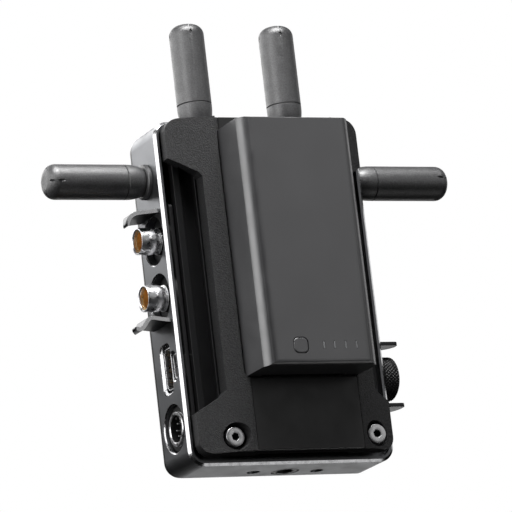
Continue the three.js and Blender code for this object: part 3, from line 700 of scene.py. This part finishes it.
def make_rear_cover():
    gap = 0.3 * MM
    base_in = 0.15 * MM
    left, right = cover_lo.x, cover_hi.x
    section = [(left + base_in, gap), (right - base_in, gap), (right, COVER_EDGE), (CREASE_X, COVER_FLAT),
               (-CREASE_X, COVER_FLAT), (left, COVER_EDGE)]
    cover = section_prism("rear_cover_shell", section, cover_lo.z, cover_hi.z)
    plan = rounded_outline(left, cover_lo.z, right, cover_hi.z, 5 * MM, 14)
    common(cover, rear_prism("plan", plan, -MM, 20 * MM))
    trough = plate_hi.x + 0.12 * MM
    tools = [
        rear_block("trough", -trough, trough, 5.9 * MM, 20 * MM, -MM, TOP_Z + MM),
        rear_prism("pocket", rounded_outline(-POCKET_HALF, 29.2 * MM, POCKET_HALF, TOP_Z + 9 * MM, 2.5 * MM),
                   POCKET_FLOOR - gap, 20 * MM),
        rear_block("underside", -36 * MM, 31 * MM, -MM, 2.4 * MM, 7 * MM, 118 * MM),
    ]
    for side in (-1, 1):
        tools.append(rear_prism("window", window_outline(side), -2 * MM, 20 * MM))
    tools.append(rod("catch_room", 3.4 * MM, -MM, 20 * MM, -Y, on_rim_plane("battery_catch"), 48))
    arch = [(-19 * MM, -MM), (19 * MM, -MM), (19 * MM, 0.4 * MM), (17 * MM, 3.4 * MM), (-17 * MM, 3.4 * MM),
            (-19 * MM, 0.4 * MM)]
    tools.append(section_prism("foot_vent", arch, -MM, 16 * MM))
    for node in SCREW_NODES:
        origin = on_rim_plane(node)
        profile = [(4.6 * MM, 4.3 * MM), (4.6 * MM, 6.6 * MM), (5.6 * MM, 12 * MM)]
        tools.append(turned("counterbore", profile, -Y, origin, 72))
        tools.append(rod("screw_hole", 2.2 * MM, -MM, 12 * MM, -Y, origin, 32))
    carve(cover, *tools)
    soften(cover, 0.42 * MM, 3, 14)
    finish(cover, "coat", "housing", "cover_coat", "rear_cover")


def make_battery_plate():
    half, ledge_z = plate_hi.x, 29 * MM
    back = 6.2 * MM
    low, high = plate_lo.z, plate_hi.z
    plate = rear_block("battery_plate_body", -half, half, back, COVER_FLAT, low, ledge_z)
    parts = [rear_block("floor", -half, half, back, POCKET_FLOOR, ledge_z - MM, high)]
    for x in (-14 * MM, 14 * MM):
        for name, half_width, foot in (("stem", STEM_HALF, -0.5 * MM), ("lip", LIP_HALF, 1.4 * MM)):
            parts.append(rear_block(name, x - half_width, x + half_width, POCKET_FLOOR + foot,
                                    POCKET_FLOOR + LIP_TOP, RAIL_Z0, RAIL_Z1))
    merge(plate, *parts)
    seat_half, seat_floor = 9.3 * MM, POCKET_FLOOR - 0.9 * MM
    carve(plate, rear_block("seat", -seat_half, seat_half, seat_floor, 20 * MM, 30.4 * MM, 35.5 * MM),
          rod("catch_hole", 2.7 * MM, 0, 20 * MM, -Y, on_rim_plane("battery_catch")))
    soften(plate, 0.18 * MM, 2, 40)
    finish(plate, "satin", "housing", "plate_plastic", "battery_plate")


def make_heat_sink():
    """The ribs behind the two windows and the foot vent, on a thin back plate."""
    low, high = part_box("heat_sink")
    comb = bmesh.new()
    pitch, width = 8.2 * MM, 2.6 * MM
    blocks = [(low.x, high.x, -2.6 * MM, -1.4 * MM, low.z, high.z)]
    x = low.x + width / 2
    while x < cover_hi.x - 2 * MM - width / 2:
        crown = 2 * MM if abs(x) < POCKET_HALF - width / 2 else 0.9 * MM
        blocks.append((x - width / 2, x + width / 2, -2 * MM, crown, low.z + 0.5 * MM, high.z - 0.5 * MM))
        x += pitch
    for x0, x1, h0, h1, z0, z1 in blocks:
        size = Matrix.Diagonal((x1 - x0, h1 - h0, z1 - z0, 1))
        place = Matrix.Translation(rear((x0 + x1) / 2, (z0 + z1) / 2, (h0 + h1) / 2))
        bmesh.ops.create_cube(comb, size=1, matrix=place @ size)
    mesh = bpy.data.meshes.new("heat_sink_comb")
    comb.to_mesh(mesh)
    comb.free()
    sink = new_object("heat_sink_comb", mesh)
    soften(sink, 0.25 * MM, 3, 40)
    finish(sink, "fins", "housing", "sink_metal", "heat_sink")


def make_cover_screws():
    for node in SCREW_NODES:
        origin = on_rim_plane(node)
        head = [(0, -9), (1.9, -9), (1.9, 4.6), (3.35, 4.6), (3.5, 4.75), (3.5, 7.1), (3.42, 7.24),
                (3.28, 7.3), (0, 7.3)]
        screw = turned(f"{node}_turned", in_mm(head), -Y, origin)
        carve(screw, turned("socket", in_mm([(1.5, 4.8), (1.5, 7.2), (1.6, 7.4)]), -Y, origin, 6))
        soften(screw, 0.08 * MM, 2, 35)
        finish(screw, "nickel", "housing", "steel", node)
        # Painted shade: the faces inside the hex socket get the black material.
        floor = RIM_Y - SOCKET_SHADE
        second_material(screw, "recess",
                        lambda face, _: (face - origin).xz.length < SOCKET_RADIUS and face.y > floor)


# ---- battery ----

BATTERY_BACK = RIM_Y - case_hi.y
BATTERY_FRONT = RIM_Y - case_lo.y
BUTTON_FLANGE = 0.7 * MM


def battery_section():
    """The case in section: a seam near the back, a plain side, a crease, then a soft curve to the front."""
    half = case_hi.x
    run, fall, power = 5.5 * MM, 3.2 * MM, 2.6
    seam = half - 0.16 * MM
    flank = [(half - 0.1 * MM, BATTERY_BACK), (half, BATTERY_BACK + 0.1 * MM),
             (half, BATTERY_BACK + 0.65 * MM), (seam, BATTERY_BACK + 0.7 * MM),
             (seam, BATTERY_BACK + 0.86 * MM), (half, BATTERY_BACK + 0.91 * MM)]
    steps = 16
    for i in range(steps + 1):
        share = i / steps
        flank.append((half - run * share, BATTERY_FRONT - fall * (1 - share) ** power))
    return flank + [(-x, height) for x, height in reversed(flank)]


def battery_profile():
    """The case from the side: a tight radius along its top edge and a broad one along its foot."""
    back, edge = RIM_Y - BATTERY_BACK, 0.4 * MM
    outline = [(back, case_lo.z + edge), (back - edge, case_lo.z)]
    for radius, z, turn in ((2.2 * MM, case_lo.z, -1), (0.75 * MM, case_hi.z, 1)):
        centre = (case_lo.y + radius, z - turn * radius)
        for step in range(9):
            angle = math.pi / 2 * (step / 8 if turn < 0 else 1 - step / 8)
            outline.append((centre[0] - radius * math.sin(angle),
                            centre[1] + turn * radius * math.cos(angle)))
    outline += [(back - edge, case_hi.z), (back, case_hi.z - edge)]
    return side_prism("profile", outline, case_lo.x - MM, case_hi.x + MM)


def make_battery_case():
    wall = 1.8 * MM
    case = section_prism("battery_case_shell", battery_section(), case_lo.z, case_hi.z)
    common(case, battery_profile())
    inner = rounded_outline(case_lo.x + wall, case_lo.z + wall, case_hi.x - wall, case_hi.z - wall,
                            0.5 * MM, 4)
    tools = [rear_prism("inside", inner, BATTERY_BACK - MM, BATTERY_FRONT - 2 * MM)]
    button_lo, button_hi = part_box("battery_button")
    lip = BUTTON_FLANGE - 0.28 * MM
    hole = rounded_outline(button_lo.x + lip, button_lo.z + lip, button_hi.x - lip, button_hi.z - lip,
                           2.0 * MM, 10)
    tools.append(rear_prism("button_hole", hole, BATTERY_FRONT - 4 * MM, BATTERY_FRONT + MM))
    tools.append(rear_block("foot_gap", -16.4 * MM, 16.4 * MM, BATTERY_BACK - MM, BATTERY_BACK + 3 * MM,
                            case_lo.z - MM, case_lo.z + 4 * MM))
    for i in range(1, 5):
        low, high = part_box(f"charge_light_{i}")
        edge = 0.12 * MM
        tools.append(rear_block("light_slot", low.x - edge, high.x + edge, BATTERY_FRONT - 4 * MM,
                                BATTERY_FRONT + MM, low.z - edge, high.z + edge))
    carve(case, *tools)
    soften(case, 0.1 * MM, 2, 50)
    finish(case, "battery", "battery", "battery_plastic", "battery_case")


def make_battery_button():
    low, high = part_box("battery_button")
    lip, edge = BUTTON_FLANGE, 0.35 * MM
    face = RIM_Y - low.y

    def ring(inset, height, radius):
        outline = rounded_outline(low.x + lip + inset, low.z + lip + inset,
                                  high.x - lip - inset, high.z - lip - inset, radius, 10)
        return [rear(x, z, height) for x, z in outline]

    rings = [ring(-lip, face - 3.4 * MM, 2.2 * MM), ring(-lip, face - 2.4 * MM, 2.2 * MM),
             ring(0, face - 2.4 * MM, 1.8 * MM)]
    for step in range(7):
        angle = math.pi / 2 * step / 6
        inset, drop = edge * (1 - math.cos(angle)), edge * (1 - math.sin(angle))
        rings.append(ring(inset, face - drop, 1.8 * MM - 0.3 * MM * step / 6))
    rings.append(ring(1.0 * MM, face - 0.06 * MM, 1.2 * MM))
    button = loft("battery_button_cap", rings)
    smooth(button, 35)
    finish(button, "battery", "charge_button", "battery_plastic", "battery_button")


# ---- antennas ----


def make_antenna(name):
    direction, root = ANTENNAS[name], antenna_root(name)
    radius, seam = 6.35 * MM, 9.3 * MM
    low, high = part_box(f"{name}_sleeve")
    tip = max((corner - root).dot(direction) for corner in (low, high))
    socket = [(3, -5), (4.7, -5), (4.7, 0.1), (6.2, 0.1), (6.38, 0.3), (6.38, 1.35), (6.2, 1.6),
              (5.6, 1.9), (3, 1.9), (3, -5)]
    bush = turned(f"{name}_bush", in_mm(socket), direction, root)
    smooth(bush, 30)
    finish(bush, "antenna", "housing", "guard_metal", f"{name}_socket")

    neck_profile = in_mm([(0, -3), (2.6, -3), (2.6, 2.15), (5.05, 2.15)])
    neck_foot = 5.2 * MM
    for step in range(13):
        share = step / 12
        along = 2.3 * MM + share * (seam - 2.65 * MM)
        swell = 1 - (1 - share) ** 2.6
        neck_profile.append((neck_foot + (radius - neck_foot) * swell, along))
    neck_profile += [(radius - 0.15 * MM, seam - 0.2 * MM), (4.5 * MM, seam - 0.2 * MM),
                     (4.5 * MM, 26 * MM), (0, 26 * MM)]
    neck = turned(f"{name}_taper", neck_profile, direction, root)
    smooth(neck, 30)
    finish(neck, "antenna", name, "antenna_plastic", f"{name}_neck")

    shoulder = 3.9 * MM
    bore = 4.9 * MM
    sleeve_profile = [(bore, seam), (radius - 0.18 * MM, seam), (radius, seam + 0.18 * MM)]
    for step in range(15):
        angle = math.pi / 2 * step / 14
        sleeve_profile.append((radius - shoulder * (1 - math.cos(angle)),
                               tip - shoulder * (1 - math.sin(angle))))
    sleeve_profile += [(1.9 * MM, tip - 0.02 * MM), (0, tip - 0.05 * MM), (0, tip - 2 * MM),
                       (bore, tip - 3.6 * MM), (bore, seam)]
    sleeve = turned(f"{name}_cap", sleeve_profile, direction, root, 120)
    across = direction.orthogonal().normalized()
    flutes = []
    for quarter in range(4):
        turn = Matrix.Rotation(math.pi / 2 * quarter + math.pi / 5, 3, direction)
        outward = turn @ across
        start = root + direction * (tip - 5.4 * MM) + outward * (radius + 0.5 * MM)
        lean = (direction * 4.6 - outward * 2.1).normalized()
        flutes.append(rod("flute", 0.5 * MM, 0, 6.5 * MM, lean, start, 24))
    carve(sleeve, *flutes)
    smooth(sleeve, 30)
    finish(sleeve, "antenna", name, "antenna_plastic", f"{name}_sleeve")


# ---- ports ----

# Metal deeper in its recess than this is given the black material as painted shade.
BARREL_SHADE, POWER_SHADE = 2.6 * MM, 1.55 * MM


def make_bnc(name):
    root = port_root(f"{name}_shell")
    body = [(3.95, -8.6), (4.85, -8.6), (4.85, -1.35), (4.6, -1.2), (4.6, -0.9), (4.25, -0.75),
            (4.25, 0.15), (4.6, 0.3), (4.6, 0.75), (4.85, 0.95), (4.85, 6.1), (4.7, 6.38), (4.45, 6.42),
            (4.15, 6.2), (3.95, 5.7), (3.95, -8.6)]
    shell = turned(f"{name}_barrel", in_mm(body), -X, root, 128)
    studs = []
    for direction in (-Y, Y):
        stud = [(0, 4.0), (1.05, 4.0), (1.05, 5.75), (0.9, 5.95), (0.6, 6.0), (0, 6.0)]
        studs.append(turned("stud", in_mm(stud), direction, root - X * 2.4 * MM, 40))
    merge(shell, *studs)
    nut = [(4.95, -4.6), (5.6, -4.6), (5.6, -3.1), (5.5, -2.9), (4.95, -2.9), (4.95, -4.6)]
    merge(shell, turned("nut", in_mm(nut), -X, root, 96))
    smooth(shell, 32)
    finish(shell, "nickel", "housing", "steel", f"{name}_shell")
    # Painted shade: the barrel's metal deep in the housing is black.
    second_material(shell, "recess", lambda face, _: face.x > LEFT_X + BARREL_SHADE)
    liner = [(1.2, -8.2), (3.8, -8.2), (3.8, 4.9), (3.55, 4.9), (3.45, 0.9), (3.1, 0.6), (1.5, 0.5),
             (1.2, 0.3), (1.2, -8.2)]
    insulator = turned(f"{name}_liner", in_mm(liner), -X, root, 96)
    smooth(insulator, 32)
    finish(insulator, "brass", "housing", "insulator", f"{name}_insulator")
    pin = [(0, -8.4), (0.8, -8.4), (0.8, 2.0), (0.55, 2.35), (0.35, 2.35), (0.3, 0.6), (0, 0.6)]
    contact = turned(f"{name}_pin", in_mm(pin), -X, root, 48)
    smooth(contact, 32)
    finish(contact, "gold", "housing", "gold", f"{name}_contact")


def make_socket(node, wall, radius, narrow):
    """A folded sheet socket: a tube whose far side tapers in, for the plug that fits one way round."""
    low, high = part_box(f"{node}_shell")

    def outline(inset):
        if not narrow:
            return rounded_outline(low.y + inset, low.z + inset, high.y - inset, high.z - inset,
                                   radius - inset, 10)
        step, back = narrow * MM, 1.9 * MM
        return [(low.y + inset, low.z + inset), (high.y - back, low.z + inset),
                (high.y - inset, low.z + step + inset), (high.y - inset, high.z - step - inset),
                (high.y - back, high.z - inset), (low.y + inset, high.z - inset)]

    shell = side_prism(f"{node}_can", outline(0), low.x, high.x)
    carve(shell, side_prism("mouth", outline(wall), low.x - MM, high.x + MM))
    soften(shell, 0.14 * MM, 2, 30)
    finish(shell, "nickel", "housing", "steel", f"{node}_shell")
    t_lo, t_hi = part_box(f"{node}_tongue")
    rings = []
    for x, edge in ((t_lo.x, 0.2 * MM), (t_lo.x + 0.3 * MM, 0), (t_hi.x, 0)):
        section = rounded_outline(t_lo.y + edge, t_lo.z + edge, t_hi.y - edge, t_hi.z - edge, 0.3 * MM, 5)
        rings.append([Vector((x, y, z)) for y, z in section])
    tongue = loft(f"{node}_blade", rings)
    smooth(tongue, 35)
    finish(tongue, "moulding", "housing", "dark_plastic", f"{node}_tongue")
    count = 9 if narrow else 6
    strips = bmesh.new()
    span = (t_hi.z - t_lo.z) * 0.82
    for i in range(count):
        z = (t_lo.z + t_hi.z) / 2 + span * (i / (count - 1) - 0.5)
        place = Vector(((t_lo.x + t_hi.x) / 2, t_hi.y + 0.02 * MM, z))
        size = Matrix.Diagonal(((t_hi.x - t_lo.x) * 0.8, 0.12 * MM, span / count * 0.5, 1))
        bmesh.ops.create_cube(strips, size=1, matrix=Matrix.Translation(place) @ size)
    mesh = bpy.data.meshes.new(f"{node}_contacts")
    strips.to_mesh(mesh)
    strips.free()
    contacts = new_object(f"{node}_contacts", mesh)
    soften(contacts, 0.03 * MM, 1, 40)
    finish(contacts, "gold", "housing", "gold")


def make_power_port():
    root = port_root("power_port_shell")
    ring = [(4.8, -9), (6, -9), (6, -2.9), (7.9, -2.9), (8.05, -2.75), (8.05, -1.75), (7.9, -1.6),
            (6.3, -1.6), (6.15, -1.45), (6.15, -0.7), (5.95, -0.5), (5.1, -0.5), (4.8, -0.8), (4.8, -9)]
    shell = turned("power_port_barrel", in_mm(ring), -X, root, 128)
    smooth(shell, 32)
    finish(shell, "nickel", "housing", "steel", "power_port_shell")
    # Painted shade: the ring's metal deep in the housing is black.
    second_material(shell, "recess", lambda face, _: face.x > LEFT_X + POWER_SHADE)
    core = [(0, -8.7), (4.5, -8.7), (4.5, -4.2), (4.3, -4), (0, -4)]
    insert = turned("power_port_core", in_mm(core), -X, root, 72)
    key_outline = rounded_outline(root.y - 0.6 * MM, root.z + 3.5 * MM,
                                  root.y + 0.6 * MM, root.z + 4.3 * MM, 0.2 * MM, 3)
    merge(insert, side_prism("key", key_outline, LEFT_X + 1.2 * MM, LEFT_X + 5 * MM))
    smooth(insert, 32)
    finish(insert, "recess", "housing", "dark_plastic", "power_port_insert")
    contacts = 6
    for i in range(contacts):
        angle = 2 * math.pi * i / contacts
        place = root + (Y * math.cos(angle) + Z * math.sin(angle)) * 2.6 * MM
        profile = [(0.28, -4.6), (0.28, -2.2), (0.2, -2.0), (0.08, -1.95)]
        pin = turned(f"power_pin_{i + 1}", in_mm(profile), -X, place, 24)
        smooth(pin, 40)
        finish(pin, "nickel", "housing", "gold")


# ---- guards ----


GUARD_THICK = 1.4 * MM
# The round near corner of a guard's plan, in mm like the other sizes of a guard.
GUARD_ROUND = 1.5


def offset_band(line, thick):
    """The outline of a strip of even thickness along a line, with a round far end."""
    def heading(i):
        before, after = line[max(i - 1, 0)], line[min(i + 1, len(line) - 1)]
        return math.atan2(after[1] - before[1], after[0] - before[0])

    def beside(i, turn):
        angle = heading(i) + turn
        return line[i][0] + thick / 2 * math.cos(angle), line[i][1] + thick / 2 * math.sin(angle)

    last = len(line) - 1
    under = [beside(i, -math.pi / 2) for i in range(last + 1)]
    end = [beside(last, math.pi * (step / 8 - 0.5)) for step in range(1, 8)]
    over = [beside(i, math.pi / 2) for i in range(last, -1, -1)]
    return under + end + over


def make_guard(node, side, face_x, profile, reach, waist, depth, bulge):
    """A curved blade beside a port or the dial, its sizes in mm. Its plan narrows from reach to waist."""
    low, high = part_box(node)
    top_of_profile = max(drop for _, drop in profile) * MM
    root_z = high.z - GUARD_THICK / 2 - top_of_profile
    near = RIM_Y + 2.4 * MM
    band = offset_band(profile, GUARD_THICK / MM)
    section = [(face_x + side * out * MM, root_z + drop * MM) for out, drop in band]
    ends = (near - 5 * MM, near + 25 * MM)
    blade = loft(f"{node}_blade", [[Vector((x, y, z)) for x, z in section] for y in ends])
    plan = [(0.0, 0.0)]
    steps = 12
    for i in range(steps + 1):
        angle = math.pi / 2 * i / steps
        plan.append((reach - GUARD_ROUND + GUARD_ROUND * math.sin(angle),
                     GUARD_ROUND - GUARD_ROUND * math.cos(angle)))
    for i in range(1, steps + 1):
        share = i / steps
        swell = bulge * (reach - waist) * 2 * share * (1 - share)
        plan.append((reach + (waist - reach) * share + swell, GUARD_ROUND + (depth - GUARD_ROUND) * share))
    plan.append((0.0, depth))
    stencil = loft("stencil", [[Vector((face_x + side * u * MM, near + v * MM, z)) for u, v in plan]
                               for z in (low.z - 10 * MM, high.z + 10 * MM)])
    common(blade, stencil)
    soften(blade, 0.22 * MM, 3, 50)
    finish(blade, "guard", "housing", "guard_metal", node)
    # Painted highlight: faces of the left guards that face the rear get a bright metal, standing in for the
    # lamp's glint on their near edge.
    if side < 0:
        facing_rear = -0.8
        second_material(blade, "guard_edge_painted_highlight", lambda _, normal: normal.y < facing_rear)


def sampled(points, steps=6):
    """A smooth line through the points, so that a bend has no corners."""
    fine = []
    for i in range(len(points) - 1):
        before = points[max(i - 1, 0)]
        after = points[min(i + 2, len(points) - 1)]
        for step in range(steps):
            t = step / steps
            fine.append(tuple(
                0.5 * (2 * b + (c - a) * t + (2 * a - 5 * b + 4 * c - d) * t * t
                       + (3 * b - a - 3 * c + d) * t ** 3)
                for a, b, c, d in zip(before, points[i], points[i + 1], after)))
    return fine + [points[-1]]


def make_guards():
    hook = sampled([(0.2, 0), (4.4, -0.5), (8.4, -1), (10.2, -1.6), (11.6, -2.7), (12.4, -4), (12.7, -5)])
    spout = sampled([(0.2, 0), (4.2, 0.5), (7.4, 0.85), (9.1, -0.2), (10.5, -2), (12, -3.2), (13.7, -3)])
    straight = [(0.2, 0), (8.2, 0)]
    make_guard("port_guard_upper", -1, LEFT_X, hook, reach=14.2, waist=5, depth=16.5, bulge=0)
    make_guard("port_guard_lower", -1, LEFT_X, spout, reach=15.2, waist=5, depth=15, bulge=0)
    make_guard("dial_guard_upper", 1, RIGHT_X, straight, reach=8, waist=2, depth=9.8, bulge=0.7)
    make_guard("dial_guard_lower", 1, RIGHT_X, straight, reach=8, waist=2, depth=14.8, bulge=0.7)


# ---- dial ----


def make_dial():
    """A dial with a diamond knurl round its grip and a dished face."""
    shaft = middle("dial_shaft")
    low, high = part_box("control_dial")
    radius = (high.z - low.z) / 2
    origin = Vector((low.x, shaft.y, shaft.z))
    length = high.x - low.x
    sides, rows, diamonds = 240, 22, 40
    knurl = 0.38 * MM

    def ridge(angle, along):
        turns = angle / (2 * math.pi) * diamonds
        climb = along / length * 4.5
        wave_a = abs((turns + climb) % 1 - 0.5) * 2
        wave_b = abs((turns - climb) % 1 - 0.5) * 2
        return min(wave_a, wave_b)

    def ring(base, along, depth):
        points = []
        for i in range(sides):
            angle = 2 * math.pi * i / sides
            r = base - depth * (1 - ridge(angle, along))
            points.append(origin + X * along + (Y * math.cos(angle) + Z * math.sin(angle)) * r)
        return points

    rings = [ring(2.1 * MM, 0.2 * MM, 0), ring(radius - 1.3 * MM, 0, 0),
             ring(radius - 0.75 * MM, 0.3 * MM, 0)]
    for row in range(rows + 1):
        along = length * (0.1 + 0.78 * row / rows)
        rings.append(ring(radius - 0.05 * MM, along, knurl))
    hub, bore_end = 0.001 * MM, 4.9 * MM
    rings += [ring(radius - 0.75 * MM, length * 0.96, 0), ring(radius - 1.2 * MM, length, 0),
              ring(6.3 * MM, length, 0), ring(6.0 * MM, length - 0.5 * MM, 0),
              ring(3 * MM, length - 0.75 * MM, 0), ring(hub, length - 0.8 * MM, 0),
              ring(hub, bore_end, 0), ring(2.1 * MM, bore_end, 0)]
    dial = loft("control_dial_knurled", rings, closed_loop=True)
    smooth(dial, 38)
    finish(dial, "rubber", "dial", "dial_rubber", "control_dial")


# ---- base ----


def make_tripod_insert():
    """A threaded insert: twenty turns to the inch, cut as a helix into its bore."""
    pitch, sides, rows = 1.27 * MM, 72, 60
    low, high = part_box("tripod_insert")
    height = high.z - low.z
    thread_root, thread_depth = 2.6 * MM, 0.75 * MM

    def ring(z, radius_at):
        points = []
        for i in range(sides):
            angle = 2 * math.pi * i / sides
            r = radius_at(angle, z)
            points.append(Vector((r * math.cos(angle), r * math.sin(angle), z)))
        return points

    def thread(angle, z):
        phase = (z / pitch - angle / (2 * math.pi)) % 1
        return thread_root + thread_depth * abs(phase - 0.5) * 2 * 0.9

    rings = [ring(low.z, lambda angle, z: 3.4 * MM)]
    for row in range(rows + 1):
        rings.append(ring(low.z + 0.25 * MM + (height - 0.3 * MM) * row / rows, thread))
    outside = ((4.6 * MM, high.z), (4.8 * MM, high.z - 0.2 * MM), (4.8 * MM, low.z + 0.25 * MM),
               (4.55 * MM, low.z))
    for radius, z in outside:
        rings.append(ring(z, lambda angle, z, radius=radius: radius))
    insert = loft("tripod_insert_threaded", rings, closed_loop=True)
    smooth(insert, 50)
    # Painted shade: the steel insert takes the black fin material, so that its hole reads dark.
    finish(insert, "fins", "housing", "steel", "tripod_insert")


# ---- CAD pieces that keep their shape ----

KEPT = {
    "board": ["main_board", "radio_board", "battery_board"],
    "foil": ["battery_cell_rear", "battery_cell_front"],
    "light": [f"charge_light_{i}" for i in range(1, 5)],
    "glass": ["display_window"],
    "moulding": ["display_module", "port_plate", "battery_base", "fan_housing", "fan_rotor"],
    "nickel": ["battery_catch", "dial_encoder", "dial_shaft"],
    "gold": ["battery_contact_block"],
}


def dress_kept_nodes():
    for material, names in KEPT.items():
        for name in names:
            mesh = nodes[name].data
            mesh.materials.clear()
            mesh.materials.append(MATERIALS[material])


add_camera()
add_studio()
make_mid_frame()
make_front_panel()
make_rear_cover()
make_battery_plate()
make_heat_sink()
make_cover_screws()
make_battery_case()
make_battery_button()
for antenna in ANTENNAS:
    make_antenna(antenna)
for bnc in BNCS:
    make_bnc(bnc)
make_socket("hdmi_port", wall=0.45 * MM, radius=0, narrow=1.5)
make_socket("usb_port", wall=0.32 * MM, radius=1.58 * MM, narrow=0)
make_power_port()
make_guards()
make_dial()
make_tripod_insert()
dress_kept_nodes()
